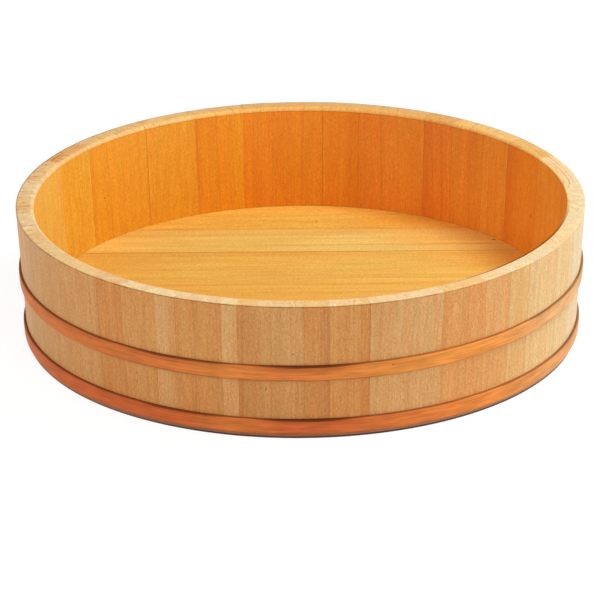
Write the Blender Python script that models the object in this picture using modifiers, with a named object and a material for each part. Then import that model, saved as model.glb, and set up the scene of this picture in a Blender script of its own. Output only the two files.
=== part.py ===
"""Sushi rice tub: wooden staves round a boarded base, held by two copper hoops.

Sizes are in metres unless a name says otherwise, and +Z is up. The origin is on the ground
under the middle of the tub. The front is -Y, and +X is to the right.
"""
import math

import bmesh
import bpy
from mathutils import Matrix, Vector

# The ring of staves
RIM_DIAMETER = 0.660
FOOT_DIAMETER = 0.642
HEIGHT = 0.161
WALL = 0.021
RIM_INNER_ROUND = 0.005
RIM_OUTER_ROUND = 0.0012
FOOT_CHAMFER = 0.0025
STAVE_GAP = 0.0002
FACET_ANGLE = math.radians(3.0)

# Stave widths along the rim, in the order they are set up, going right from the first joint.
# The ring closes on them, so they share out the rim whatever its diameter.
STAVE_WIDTHS_MM = (
    74, 28, 35, 10, 87, 57, 38, 34, 57, 53,
    61, 67, 57, 65, 71, 46, 52, 43, 92, 48,
    67, 38, 66, 74, 102, 70, 66, 54, 55, 53,
    54, 46, 68, 37, 45, 26, 54, 18,
)
FRONT = math.radians(-90.0)
FIRST_JOINT = FRONT + math.radians(-12.4)

# The bamboo pegs that line up each stave with the next, high and low by turns
PEG_DIAMETER = 0.004
PEG_REACH = 0.006
PEG_ROOT = 0.003
PEG_CLEARANCE = 0.0003
PEG_BELOW_RIM = 0.035
PEG_ABOVE_FLOOR = 0.030
PEG_SIDES = 8

# The base, whose tongue sits in the croze, a groove round the inside of the staves
FLOOR_HEIGHT = 0.034
BASE_THICKNESS = 0.018
TONGUE_DROP = 0.002
TONGUE_THICKNESS = 0.009
TONGUE_DEPTH = 0.006
SEAT_CLEARANCE = 0.0003
BOARD_GAP = 0.0002
BASE_STEPS = 120

# Board widths from the back to the front, which share out the base whatever its diameter
BOARD_WIDTHS_MM = (84, 74, 87, 88, 87, 93, 101)

# The bamboo dowels across the joints of the base
DOWEL_DIAMETER = 0.006
DOWEL_LENGTH = 0.044
DOWEL_SPACING = 0.200
DOWEL_CLEARANCE = 0.0002
DOWEL_SIDES = 12

# The copper hoops, bands with a low crown and rounded edges
HOOP_WIDTH = 0.0185
HOOP_THICKNESS = 0.0030
HOOP_CROWN = 0.0006
HOOP_EDGE_ROUND = 0.0010
HOOP_CLEARANCE = 0.0002
HOOP_STEPS = 96
LOWER_HOOP_HEIGHT = 0.0060
UPPER_HOOP_HEIGHT = 0.0715

MM = 0.001
CORNER_STEPS = 2
ROUND_STEPS = 4
CROWN_STEPS = 4
MERGE_DISTANCE = 0.000001
SMOOTH_ANGLE = math.radians(30.0)


def outer_radius(z):
    """Radius of the outside of the wall at height z: a plain taper from foot to rim."""
    foot = FOOT_DIAMETER / 2
    rim = RIM_DIAMETER / 2
    return foot + (rim - foot) * z / HEIGHT


def inner_radius(z):
    return outer_radius(z) - WALL


def base_bottom():
    return FLOOR_HEIGHT - BASE_THICKNESS


def tongue_top():
    return FLOOR_HEIGHT - TONGUE_DROP


def tongue_bottom():
    return tongue_top() - TONGUE_THICKNESS


def shoulder_radius(z):
    """Radius of the base above or below its tongue, just clear of the wall at height z."""
    return inner_radius(z) - SEAT_CLEARANCE


def tongue_radius():
    return shoulder_radius(tongue_bottom()) + TONGUE_DEPTH


def croze_radius():
    """Radius of the bottom of the croze, with room for the flats of the faceted rings."""
    flat = math.cos(FACET_ANGLE / 2)
    return (tongue_radius() + SEAT_CLEARANCE) / flat


def arc(centre_x, centre_z, radius, start_deg, end_deg, steps):
    """Points on an arc in the plane of a profile, ends included."""
    points = []
    for step in range(steps + 1):
        angle = math.radians(start_deg + (end_deg - start_deg) * step / steps)
        points.append((centre_x + radius * math.cos(angle), centre_z + radius * math.sin(angle)))
    return points


def stave_profile():
    """Section of the wall: outside, rim, inside with the croze, and foot."""
    rim_out = RIM_DIAMETER / 2
    rim_in = rim_out - WALL
    croze_top = tongue_top() + SEAT_CLEARANCE
    croze_bottom = tongue_bottom() - SEAT_CLEARANCE
    points = [(outer_radius(FOOT_CHAMFER), FOOT_CHAMFER)]
    points += arc(rim_out - RIM_OUTER_ROUND, HEIGHT - RIM_OUTER_ROUND, RIM_OUTER_ROUND,
                  0, 90, CORNER_STEPS)
    points += arc(rim_in + RIM_INNER_ROUND, HEIGHT - RIM_INNER_ROUND, RIM_INNER_ROUND,
                  90, 180, ROUND_STEPS)
    points += [
        (inner_radius(croze_top), croze_top),
        (croze_radius(), croze_top),
        (croze_radius(), croze_bottom),
        (inner_radius(croze_bottom), croze_bottom),
        (inner_radius(FOOT_CHAMFER), FOOT_CHAMFER),
        (inner_radius(0) + FOOT_CHAMFER, 0),
        (outer_radius(0) - FOOT_CHAMFER, 0),
    ]
    return points


def base_profile():
    """Section of the base from its middle out to the tongue and back underneath."""
    upper = shoulder_radius(tongue_top())
    lower = shoulder_radius(base_bottom())
    return [
        (0, FLOOR_HEIGHT),
        (upper, FLOOR_HEIGHT),
        (upper, tongue_top()),
        (tongue_radius(), tongue_top()),
        (tongue_radius(), tongue_bottom()),
        (lower, tongue_bottom()),
        (lower, base_bottom()),
        (0, base_bottom()),
    ]


def hoop_profile(height):
    """Section of a hoop whose lower edge is at this height, leaning with the wall behind it."""
    edge = HOOP_EDGE_ROUND
    side = HOOP_THICKNESS - HOOP_CROWN
    # Each point is first a distance from the wall and a height above the lower edge
    points = arc(side - edge, HOOP_WIDTH - edge, edge, 90, 0, CORNER_STEPS)
    crown_length = HOOP_WIDTH - 2 * edge
    for step in range(1, CROWN_STEPS):
        along = step / CROWN_STEPS
        rise = HOOP_CROWN * (1 - (2 * along - 1) ** 2)
        points.append((side + rise, HOOP_WIDTH - edge - crown_length * along))
    points += arc(side - edge, edge, edge, 0, -90, CORNER_STEPS)
    points += [(0, 0), (0, HOOP_WIDTH)]
    flat = math.cos(math.pi / HOOP_STEPS)
    section = []
    for out, up in points:
        wall = (outer_radius(height + up) + HOOP_CLEARANCE) / flat
        section.append((wall + out, height + up))
    return section


def linear(red, green, blue):
    """A colour given in 0-255 screen values, as the shader wants it."""
    levels = []
    for value in (red, green, blue):
        level = value / 255
        levels.append(level / 12.92 if level <= 0.04045 else ((level + 0.055) / 1.055) ** 2.4)
    return (*levels, 1.0)


def material(name, colour, roughness, metallic):
    made = bpy.data.materials.new(name)
    made.use_nodes = True
    shader = made.node_tree.nodes["Principled BSDF"]
    shader.inputs["Base Color"].default_value = colour
    shader.inputs["Roughness"].default_value = roughness
    shader.inputs["Metallic"].default_value = metallic
    return made


def empty_scene():
    for old in list(bpy.data.objects):
        bpy.data.objects.remove(old)


def new_collection(name):
    made = bpy.data.collections.new(name)
    bpy.context.scene.collection.children.link(made)
    return made


def piece_from(mesh, name, collection):
    piece = bpy.data.objects.new(name, mesh)
    collection.objects.link(piece)
    return piece


def finish(piece, finish_material, parent):
    """Smooth the round faces, give the piece its material and hang it on the tub."""
    piece.data.shade_smooth()
    piece.data.set_sharp_from_angle(angle=SMOOTH_ANGLE)
    piece.data.materials.clear()
    piece.data.materials.append(finish_material)
    piece.parent = parent


def bake_modifiers(piece):
    """Turn what the modifiers make into the piece's own mesh."""
    depsgraph = bpy.context.evaluated_depsgraph_get()
    shaped = bpy.data.meshes.new_from_object(piece.evaluated_get(depsgraph))
    piece.modifiers.clear()
    piece.data = shaped


def combine(piece, tool, operation):
    """Join a tool to a piece, or cut it out, or keep what they share. The tool is used up."""
    boolean = piece.modifiers.new(operation.title(), "BOOLEAN")
    boolean.operation = operation
    boolean.solver = "EXACT"
    boolean.object = tool
    bake_modifiers(piece)
    bpy.data.objects.remove(tool)


def rod(name, start, direction, length, diameter, sides, collection):
    """A closed rod from a start point along a direction."""
    axis = Vector(direction).normalized()
    middle = Vector(start) + axis * length / 2
    turn = axis.to_track_quat("Z", "X").to_matrix().to_4x4()
    mesh = bpy.data.meshes.new(name)
    shape = bmesh.new()
    bmesh.ops.create_cone(shape, cap_ends=True, segments=sides, radius1=diameter / 2,
                          radius2=diameter / 2, depth=length,
                          matrix=Matrix.Translation(middle) @ turn)
    shape.to_mesh(mesh)
    shape.free()
    return piece_from(mesh, name, collection)


def slab(name, low, high, collection):
    """A plain block between two opposite corners."""
    size = Vector(high) - Vector(low)
    middle = (Vector(high) + Vector(low)) / 2
    mesh = bpy.data.meshes.new(name)
    shape = bmesh.new()
    bmesh.ops.create_cube(shape, size=1.0,
                          matrix=Matrix.Translation(middle) @ Matrix.Diagonal((*size, 1)))
    shape.to_mesh(mesh)
    shape.free()
    return piece_from(mesh, name, collection)


def turned(name, profile, closed, steps, collection):
    """A full turn of a profile round the tub's axis."""
    corners = [(x, 0, z) for x, z in profile]
    count = len(corners)
    sides = [(i, i + 1) for i in range(count - 1)]
    if closed:
        sides.append((count - 1, 0))
    mesh = bpy.data.meshes.new(name)
    mesh.from_pydata(corners, sides, [])
    piece = piece_from(mesh, name, collection)
    screw = piece.modifiers.new("Turn", "SCREW")
    screw.steps = steps
    screw.render_steps = steps
    screw.use_merge_vertices = True
    screw.merge_threshold = MERGE_DISTANCE
    bake_modifiers(piece)
    return piece


def spun_sector(name, profile, width, collection):
    """A closed sector of a turned ring: the profile as a face, spun through the width."""
    half_gap = STAVE_GAP / RIM_DIAMETER
    start = Matrix.Rotation(half_gap, 3, "Z")
    mesh = bpy.data.meshes.new(name)
    shape = bmesh.new()
    corners = [shape.verts.new(start @ Vector((x, 0, z))) for x, z in profile]
    shape.faces.new(corners)
    section = shape.verts[:] + shape.edges[:] + shape.faces[:]
    bmesh.ops.spin(shape, geom=section, axis=(0, 0, 1), angle=width - 2 * half_gap,
                   steps=math.ceil(width / FACET_ANGLE))
    bmesh.ops.recalc_face_normals(shape, faces=shape.faces[:])
    shape.to_mesh(mesh)
    shape.free()
    return piece_from(mesh, name, collection)


def peg_height(joint):
    """Pegs are high and low by turns, so that a narrow stave never has two side by side."""
    if joint % 2:
        return HEIGHT - PEG_BELOW_RIM
    return FLOOR_HEIGHT + PEG_ABOVE_FLOOR


def peg_line(joint, angle):
    """Where a peg crosses a joint plane at this angle, and which way it points."""
    height = peg_height(joint)
    middle = outer_radius(height) - WALL / 2
    point = Vector((middle * math.cos(angle), middle * math.sin(angle), height))
    along = Vector((-math.sin(angle), math.cos(angle), 0))
    return point, along


def make_stave(number, width, collection):
    """A stave with its first joint at angle zero: a hole there, and a peg at the other joint."""
    stave = spun_sector(f"stave_{number:02d}", stave_profile(), width, collection)

    point, along = peg_line(number, 0)
    hole = rod("peg_hole", point, along, PEG_REACH + PEG_CLEARANCE,
               PEG_DIAMETER + 2 * PEG_CLEARANCE, PEG_SIDES, collection)
    combine(stave, hole, "DIFFERENCE")

    point, along = peg_line(number + 1, width)
    peg = rod("peg", point - along * PEG_ROOT, along, PEG_ROOT + PEG_REACH,
              PEG_DIAMETER, PEG_SIDES, collection)
    combine(stave, peg, "UNION")
    return stave


def make_staves(collection, wood, parent):
    ring = sum(STAVE_WIDTHS_MM)
    joint = FIRST_JOINT
    for number, width_mm in enumerate(STAVE_WIDTHS_MM, start=1):
        width = math.tau * width_mm / ring
        stave = make_stave(number, width, collection)
        stave.rotation_euler.z = joint
        finish(stave, wood, parent)
        joint += width


def board_joints():
    """Places of the joints across the base, from the back edge to the front edge."""
    places = [tongue_radius()]
    for width_mm in BOARD_WIDTHS_MM:
        places.append(places[-1] - 2 * tongue_radius() * width_mm / sum(BOARD_WIDTHS_MM))
    return places


def dowel_places():
    """Middle points of the dowels, two across each joint between boards."""
    level = FLOOR_HEIGHT - BASE_THICKNESS / 2
    places = []
    for number, joint in enumerate(board_joints()[1:-1], start=1):
        places.append((f"base_dowel_{number}_left", Vector((-DOWEL_SPACING / 2, joint, level))))
        places.append((f"base_dowel_{number}_right", Vector((DOWEL_SPACING / 2, joint, level))))
    return places


def make_base(collection, wood, parent):
    """Boards sawn from a turned disc, with holes for the dowels on both sides of each joint."""
    joints = board_joints()
    reach = tongue_radius() + BASE_THICKNESS
    toward_back = Vector((0, 1, 0))
    hole_length = DOWEL_LENGTH + 2 * DOWEL_CLEARANCE
    for number in range(1, len(joints)):
        back = joints[number - 1] - BOARD_GAP / 2 if number > 1 else reach
        front = joints[number] + BOARD_GAP / 2 if number < len(joints) - 1 else -reach
        board = turned(f"base_board_{number}", base_profile(), False, BASE_STEPS, collection)
        strip = slab("strip", (-reach, front, base_bottom() - BASE_THICKNESS),
                     (reach, back, FLOOR_HEIGHT + BASE_THICKNESS), collection)
        combine(board, strip, "INTERSECT")
        for _, place in dowel_places():
            if front - DOWEL_LENGTH < place.y < back + DOWEL_LENGTH:
                hole = rod("dowel_hole", place - toward_back * hole_length / 2, toward_back,
                           hole_length, DOWEL_DIAMETER + 2 * DOWEL_CLEARANCE, DOWEL_SIDES,
                           collection)
                combine(board, hole, "DIFFERENCE")
        finish(board, wood, parent)


def make_dowels(collection, bamboo, parent):
    toward_back = Vector((0, 1, 0))
    for name, place in dowel_places():
        dowel = rod(name, -toward_back * DOWEL_LENGTH / 2, toward_back, DOWEL_LENGTH,
                    DOWEL_DIAMETER, DOWEL_SIDES, collection)
        dowel.location = place
        finish(dowel, bamboo, parent)


def make_hoops(collection, copper, parent):
    for name, height in (("lower_hoop", LOWER_HOOP_HEIGHT), ("upper_hoop", UPPER_HOOP_HEIGHT)):
        hoop = turned(name, hoop_profile(height), True, HOOP_STEPS, collection)
        finish(hoop, copper, parent)


def main():
    empty_scene()
    collection = new_collection("sushi_rice_tub")
    tub = bpy.data.objects.new("tub", None)
    collection.objects.link(tub)

    stave_wood = material("stave_wood", linear(214, 160, 104), 0.62, 0.0)
    base_wood = material("base_wood", linear(238, 170, 76), 0.58, 0.0)
    bamboo = material("bamboo", linear(222, 196, 138), 0.50, 0.0)
    copper = material("copper", linear(206, 108, 58), 0.38, 1.0)

    make_staves(collection, stave_wood, tub)
    make_base(collection, base_wood, tub)
    make_dowels(collection, bamboo, tub)
    make_hoops(collection, copper, tub)


main()
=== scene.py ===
"""Looks of the sushi rice tub: wooden staves, a boarded floor and two copper hoops.

Sizes are in metres unless a name or a comment says otherwise, and +Z is up. The front of the tub is
-Y and its right is +X, as in the solids that this script dresses. Places round the tub are given in
degrees from the front, growing to the right.
"""
import math
import random
from typing import NamedTuple

import bpy
from mathutils import Matrix, Vector, noise


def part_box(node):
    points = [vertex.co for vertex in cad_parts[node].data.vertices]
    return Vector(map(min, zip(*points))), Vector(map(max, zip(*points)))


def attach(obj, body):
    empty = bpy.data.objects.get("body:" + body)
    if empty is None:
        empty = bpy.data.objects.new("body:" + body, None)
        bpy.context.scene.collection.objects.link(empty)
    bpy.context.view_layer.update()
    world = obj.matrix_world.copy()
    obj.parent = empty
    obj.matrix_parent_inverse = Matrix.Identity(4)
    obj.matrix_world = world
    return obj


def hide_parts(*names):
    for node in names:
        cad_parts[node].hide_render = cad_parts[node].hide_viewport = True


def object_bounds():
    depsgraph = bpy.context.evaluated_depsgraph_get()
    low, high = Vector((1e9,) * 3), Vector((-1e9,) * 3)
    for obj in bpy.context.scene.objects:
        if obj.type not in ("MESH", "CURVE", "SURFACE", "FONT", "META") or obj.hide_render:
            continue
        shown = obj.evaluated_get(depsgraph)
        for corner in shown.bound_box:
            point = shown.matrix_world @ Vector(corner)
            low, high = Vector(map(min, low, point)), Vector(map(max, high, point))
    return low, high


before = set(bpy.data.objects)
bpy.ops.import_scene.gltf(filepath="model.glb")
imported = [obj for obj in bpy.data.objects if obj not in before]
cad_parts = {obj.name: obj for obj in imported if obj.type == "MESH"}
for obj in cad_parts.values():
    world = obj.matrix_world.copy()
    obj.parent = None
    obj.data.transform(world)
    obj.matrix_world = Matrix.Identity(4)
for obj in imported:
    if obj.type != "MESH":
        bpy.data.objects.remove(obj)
CAD_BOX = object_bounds()

MM = 0.001
HEIGHT = CAD_BOX[1].z
BODY = "root"
rng = random.Random(20)

# The wall's section, as the solids have it apart from a smaller chamfer at the foot, and a round inside
# the rim that is smaller at the right by RIM_SHARPER
RIM_RADIUS = 0.330
FOOT_RADIUS = 0.321
WALL = 0.021
RIM_INNER_ROUND = 0.005
RIM_SHARPER = 0.0036
RIM_OUTER_ROUND = 0.0012
FOOT_CHAMFER = 0.0012
CROZE_BOTTOM = 0.0227
CROZE_TOP = 0.0323
CROZE_RADIUS = 0.3077

# How finely the wall is drawn, how its joints are filled and chamfered, and how far its staves are out
# of true
STEP_ANGLE = math.radians(1.0)
OUTER_ROUND_STEPS = 4
INNER_ROUND_STEPS = 8
JOINT_FILL = 0.00008
JOINT_CHAMFER = 0.00012
SHARPEST_CORNER = 0.5
RIM_UNEVEN = 0.00012
WALL_UNEVEN = 0.00006
SHARP_ANGLE = math.radians(35.0)

# Where the wall's finish changes: beside the edges of the rim, at a joint, behind the upper hoop, near
# the foot, where shade is painted under the lower hoop, and toward the left, where that painted shade is
# fainter
ARRIS_WIDTH = 0.0007
WARM_WIDTH = 0.0065
SEAM_WIDTH = 0.0006
LOW_WALL = 0.078
HIGH_WALL = 0.084
FOOT_DIM_HEIGHT = 0.0075
FOOT_DARK_HEIGHT = 0.0036
FAINTER_LEFT = -0.28
SHADED_FROM = -0.10

# The painted shade line inside the rim. On the flat beside the round it fades out and is full at these
# shares of what WARM_WIDTH leaves there. The way down the round is counted from ON_ROUND to 1: the round
# is fully pale from EASED_FULL, and the line at the back starts at LINE_UNDER
LINE_FADE = 0.45
LINE_FULL = 0.25
ON_ROUND = 0.1
EASED_FULL = 0.45
LINE_UNDER = 0.87

# The hoops' section: a band with a low crown and well rounded edges, a little uneven round the tub.
# The last two values keep one unevenness from being like another
HOOP_THICKNESS = 0.0030
HOOP_CLEARANCE = 0.0002
HOOP_SQUARENESS = 4.0
HOOP_FACE_STEPS = 24
HOOP_STEPS = 360
HOOP_UNEVEN = 0.00012
HOOP_WAVES = 9.0
HOOPS_APART = 10.0
RISE_APART = Vector((0, 0, 5))

# The camera, far off with a long lens, a little rolled
CAMERA_PLACE = (-0.0015, -4.3336, 1.8286)
CAMERA_PITCH = math.radians(22.515)
CAMERA_ROLL = math.radians(-0.477)
CAMERA_LENS_MM = 240.0
CAMERA_REACH = 100.0
SENSOR_MM = 36.0

# Studio light: azimuth from the front to the right, elevation, distance, size, watts
LAMPS = {
    "key": (90, 58, 2.0, 0.8, 22),
    "side": (75, 14, 2.0, 1.2, 11),
    "fill": (-75, 25, 2.2, 1.4, 9),
    "front": (-5, 40, 2.0, 1.5, 10),
}
AMBIENT = 0.27
WHITE = (1, 1, 1, 1)
FLOOR_RADIUS = 15.0
FLOOR_CORNERS = 6
FLOOR_GREY = (0.70, 0.70, 0.70, 1)
FLOOR_SHADOW = (0.28, 0.28, 0.28, 1)
FLOOR_GLOW = 0.85


def shade(red, green, blue):
    """A colour given in 0-255 screen values, as a shader wants it."""
    levels = []
    for value in (red, green, blue):
        level = value / 255
        levels.append(level / 12.92 if level <= 0.04045 else ((level + 0.055) / 1.055) ** 2.4)
    return (*levels, 1.0)


# Tones of the wood: the wall outside and inside, the floor, and the rim
TINTS = {
    "bone": shade(232, 213, 174),
    "pale": shade(230, 205, 158),
    "flax": shade(230, 198, 139),
    "straw": shade(231, 192, 131),
    "fair": shade(239, 181, 114),
    "sand": shade(229, 181, 112),
    "tan": shade(230, 176, 110),
    "honey": shade(230, 170, 101),
    "warm": shade(231, 164, 91),
    "red": shade(229, 156, 82),
    "dark": shade(224, 152, 76),
    "sun": shade(234, 182, 75),
    "amber": shade(231, 168, 44),
    "gold": shade(230, 156, 29),
    "orange": shade(234, 152, 20),
    "deep": shade(229, 137, 19),
    "brown": shade(233, 140, 32),
    "rust": shade(234, 135, 28),
    "umber": shade(243, 159, 51),
    "russet": shade(239, 145, 36),
    "sienna": shade(238, 149, 42),
    "floor_back": shade(236, 187, 78),
    "floor": shade(238, 199, 101),
    "floor_deep": shade(235, 184, 80),
    "floor_front": shade(238, 181, 74),
    "milk": shade(243, 217, 162),
    "cream": shade(230, 211, 163),
    "ivory": shade(238, 207, 153),
    "buff": shade(239, 204, 137),
    "wheat": shade(234, 200, 140),
    "oat": shade(232, 194, 128),
    "bran": shade(221, 180, 117),
    "husk": shade(224, 181, 104),
    "toast": shade(232, 178, 96),
    "nut": shade(217, 169, 98),
}

# How a board was sawn from the log: where its pith lies across and behind the board, and how far
# apart the growth rings are, all in millimetres
CUTS = {
    "quarter": (150, 25, 4.2),
    "rift": (70, -80, 4.8),
    "slash": (55, -130, 4.4),
    "flat": (12, -95, 3.6),
}
PITH_SPREAD = (0.8, 1.2)
SPACING_SPREAD = (0.85, 1.15)
BOARD_PITH_SPREAD = (0.9, 1.3)
GRAIN_SPREAD = 9

# Each stave from the front joint round to the right: its tone outside, inside and on the rim, and its cut.
# The tones are partly the staves' own and partly painted light: outside they are paler toward the right,
# where the light falls, and inside they are more orange for light bounced in the tub and redder on the
# right, where the inside is in shade
STAVES = (
    ("honey", "deep", "wheat", "quarter"),
    ("warm", "orange", "oat", "quarter"),
    ("warm", "orange", "ivory", "quarter"),
    ("dark", "rust", "oat", "quarter"),
    ("tan", "orange", "ivory", "rift"),
    ("warm", "gold", "oat", "quarter"),
    ("honey", "gold", "ivory", "quarter"),
    ("sand", "amber", "cream", "rift"),
    ("straw", "gold", "cream", "quarter"),
    ("flax", "gold", "ivory", "rift"),
    ("pale", "orange", "cream", "quarter"),
    ("bone", "umber", "cream", "rift"),
    ("straw", "umber", "cream", "flat"),
    ("pale", "umber", "ivory", "flat"),
    ("tan", "russet", "husk", "flat"),
    ("straw", "sienna", "oat", "quarter"),
    ("tan", "brown", "oat", "quarter"),
    ("honey", "rust", "nut", "rift"),
    ("straw", "brown", "bran", "quarter"),
    ("tan", "deep", "bran", "quarter"),
    ("straw", "deep", "bran", "quarter"),
    ("tan", "deep", "bran", "quarter"),
    ("honey", "orange", "oat", "quarter"),
    ("tan", "gold", "wheat", "slash"),
    ("straw", "gold", "wheat", "quarter"),
    ("tan", "amber", "toast", "quarter"),
    ("straw", "sun", "buff", "quarter"),
    ("tan", "sun", "milk", "quarter"),
    ("straw", "sun", "buff", "quarter"),
    ("fair", "amber", "milk", "quarter"),
    ("tan", "amber", "buff", "quarter"),
    ("honey", "gold", "wheat", "rift"),
    ("honey", "gold", "buff", "quarter"),
    ("red", "orange", "wheat", "quarter"),
    ("warm", "orange", "milk", "quarter"),
    ("fair", "gold", "milk", "quarter"),
    ("warm", "orange", "ivory", "quarter"),
    ("fair", "gold", "milk", "rift"),
)

# Staves whose tone changes from their first joint to their last: how far they are darker and
# redder there, where 0 or less is plain
LEANING_TONES = {
    1: (0.4, -0.5),
    2: (0.05, 0.35),
    15: (-0.5, 0.5),
    18: (-0.3, 0.4),
    19: (-0.4, 0.25),
    20: (0.3, -0.3),
    23: (-0.1, 0.35),
    36: (-0.1, 0.3),
}
PLAIN_TONE = (0.0, 0.0)

# How dark the line at a stave's first joint is, where it shows more than the others do
JOINT_LINES = {
    2: 0.25,
    5: 0.30,
    19: 0.25,
    21: 0.50,
    25: 0.70,
    26: 0.40,
}
FAINT_JOINT = 0.12

# How strongly the growth rings show as strokes on a stave's rim, where that is not as elsewhere
RIM_STROKES = {
    14: 0.4,
    15: 0.5,
    23: 0.8,
    24: 0.9,
    25: 1.1,
    26: 1.6,
    27: 1.5,
    28: 1.2,
    29: 1.5,
    30: 1.2,
    31: 1.0,
    32: 0.5,
    33: 0.3,
    34: 0.8,
    35: 0.5,
}
FAINT_STROKES = 0.45

# Stains on the rim: place from the front, then in millimetres radius, half width across the rim and
# half length along it, and how dark
RIM_MARKS = (
    (-165, 329.5, 2.4, 90, 0.35),
    (-145, 311, 1.2, 1.3, 0.6),
    (-142.5, 309, 5.0, 1.0, 0.5),
    (-136, 316, 6.0, 0.9, 0.4),
    (-134.7, 315, 6.0, 0.9, 0.45),
    (-122, 329.5, 2.4, 240, 0.7),
    (-116.5, 318.5, 1.2, 10, 0.5),
    (-115.5, 322.5, 1.5, 14, 0.65),
    (-110.5, 322.5, 2.5, 3.0, 0.4),
    (-105, 312, 1.1, 0.9, 0.6),
    (-103.7, 322, 6.0, 1.0, 0.75),
    (-100.5, 325, 1.6, 1.3, 0.5),
    (-94, 312, 1.3, 1.1, 0.5),
    (-88.3, 321, 1.5, 1.7, 0.6),
    (-87, 316, 1.6, 1.5, 0.45),
    (-83, 322.5, 1.8, 1.1, 0.5),
    (-72.6, 324, 2.4, 1.1, 0.55),
    (-70.3, 328, 1.5, 1.1, 0.5),
    (-10.8, 319, 12.0, 9.0, 0.12),
    (80, 326, 1.0, 1.3, 0.45),
    (80.5, 322, 1.1, 1.3, 0.45),
    (82.3, 322.5, 1.0, 1.4, 0.5),
    (83, 314, 0.9, 1.3, 0.5),
    (98, 312, 1.0, 1.4, 0.5),
    (101, 323, 0.8, 36, 0.25),
    (104.5, 318, 0.9, 44, 0.45),
    (109, 313.5, 0.8, 30, 0.35),
    (112, 322.5, 0.9, 34, 0.40),
    (116, 318, 1.2, 22, 0.35),
    (140, 329.5, 2.0, 150, 0.3),
    (149, 322, 5.0, 0.9, 0.35),
    (150.4, 320, 9.0, 0.9, 0.5),
    (161.2, 325, 1.1, 2.2, 0.5),
    (163.6, 325, 1.3, 2.6, 0.6),
)
MARK_EDGE = (1.2, 0.5)

# Stretches round the wall where its rim differs: place from the front, half width, how much. Most of
# them place painted light and shade: BRIGHT_EDGE and SOFT_EDGE shape the painted shade on the outer
# edge, DARK_INSIDE and LINED_BACK the painted shade inside it, LIT_INSIDE a painted highlight on the
# inner round, and WARM_BACK and WARM_RIGHT painted warm light from inside the tub
SHARP_INSIDE = (75, 50, RIM_SHARPER)
BRIGHT_EDGE = (80, 40, 0.75)
SOFT_EDGE = (-115, 40, 1.5)
DARK_INSIDE = (58, 24, 1.0)
LINED_BACK = (172, 66, 0.35)
LIT_INSIDE = (-65, 85, 0.8)
ENDED_BACK = (180, 75, 1.0)
WARM_BACK = (180, 62, 1.0)
WARM_RIGHT = (95, 45, 0.6)
WARM_JOINT = (-10.8, 1.7, 0.45)
SHARP_FALL = 2.0
EASED_LEAST = 0.2

# Where the wall under the upper hoop is redder than above it: place, half width, how much
RED_STRETCHES = (
    (-8, 45, 0.10),
    (-8, 22, 0.12),
)

# Each hoop: its tone in painted shade on the left and in painted light on the right, the places where
# the shaded tone ends and the lit one starts, how pale a painted reflection makes it at the right, and
# how far it leans up there
HOOPS = {
    "upper_hoop": (shade(215, 121, 61), shade(231, 148, 69), -10, 30, 0.55, 0.0020),
    "lower_hoop": (shade(209, 105, 56), shade(226, 140, 64), -5, 50, 0.35, 0.0),
}
# Where a painted reflection makes a hoop pale at its right end, place and half width; and a painted
# highlight left of the front, place, half width and how much
PALE_END = (82, 32)
BRIGHT_SPOT = (-14, 8, 0.4)

# How much painted shade and dark reflection lie along a hoop's upper edge everywhere, and how much more
# in places: place, half width, how much
UPPER_SHADE = 0.08
UPPER_SHADE_STRETCHES = (
    (66, 24, 0.15),
    (1, 8.5, 0.68),
    (-24, 9, 0.35),
    (-50, 22, 0.20),
    (-84, 14, 0.30),
    (180, 60, 0.30),
)

# Each board of the base from the back to the front: its tone, its cut, and how dark the joint is
# behind it
BOARDS = (
    ("floor_back", "flat", 0.0),
    ("floor", "rift", 0.1),
    ("floor_deep", "rift", 0.6),
    ("floor_front", "flat", 0.0),
    ("floor_front", "rift", 0.3),
    ("floor_deep", "flat", 0.3),
    ("floor_deep", "rift", 0.3),
)
JOINT_LINE = 0.0025

# Streaks in the floor's grain, in millimetres: how far back, half width, left end, right end, how much
DARK_STREAKS = (
    (249, 3, -90, 60, 0.15),
    (225, 3.5, -60, 120, 0.22),
    (213, 16, -280, 90, 0.16),
    (170, 2.5, -40, 130, 0.22),
    (170, 2.5, 130, 260, 0.45),
    (141, 11, -260, 10, 0.17),
    (92, 3, -200, 150, 0.12),
    (44, 4, -170, 120, 0.18),
    (31, 13, -220, 0, 0.10),
    (20, 3.5, -100, 160, 0.15),
)
PALE_STREAKS = (
    (257, 7, -190, 100, 0.6),
    (190, 24, -40, 130, 0.35),
    (153, 7, -60, 230, 0.7),
    (104, 9, 80, 190, 0.2),
    (57, 8, -220, 200, 0.8),
)
STREAK_FADE = 35
STREAK_CORE = 0.3

# Painted light: the floor is made paler from its middle to the right, toward the light
PALING_START = -0.03
PALING_END = 0.13
PALING = 0.8

# Where painted shadow and warm bounce light from the shaded wall lie on the floor: its place from the
# front, how nearly the floor lies that way, and how far out it starts
GLOW_PLACE = 132
GLOW_FACING = (0.70, 0.97)
GLOW_START = 0.19
GLOW_FULL = 0.30

# Tones that others are mixed with or multiplied by; the two lights are factors of red, green and blue
LATE_WOOD = shade(205, 150, 108)
REDDISH = shade(226, 188, 150)
TINGE = shade(252, 226, 200)
# A paler tone, for the pale streaks in the floor's grain and for painted light on the floor
PALE_LIGHT = (1.03, 1.10, 1.28, 1.0)
# Painted warm light on the rim from inside the tub
WARM_LIGHT = (1.17, 0.98, 0.48, 1.0)
MOTTLED = shade(226, 160, 90)
END_STROKE = shade(192, 100, 42)
STAINED = shade(172, 92, 38)
# The paler planed inner edge of the rim, also a painted highlight where it faces the light
EASED_EDGE = shade(250, 222, 166)
# Painted shade inside the rim
INNER_LINE = shade(136, 70, 16)
# Painted shade along the rim's outer edge
EDGE_LINE = shade(132, 80, 34)
JOINT_DARK = shade(150, 92, 40)
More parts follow.
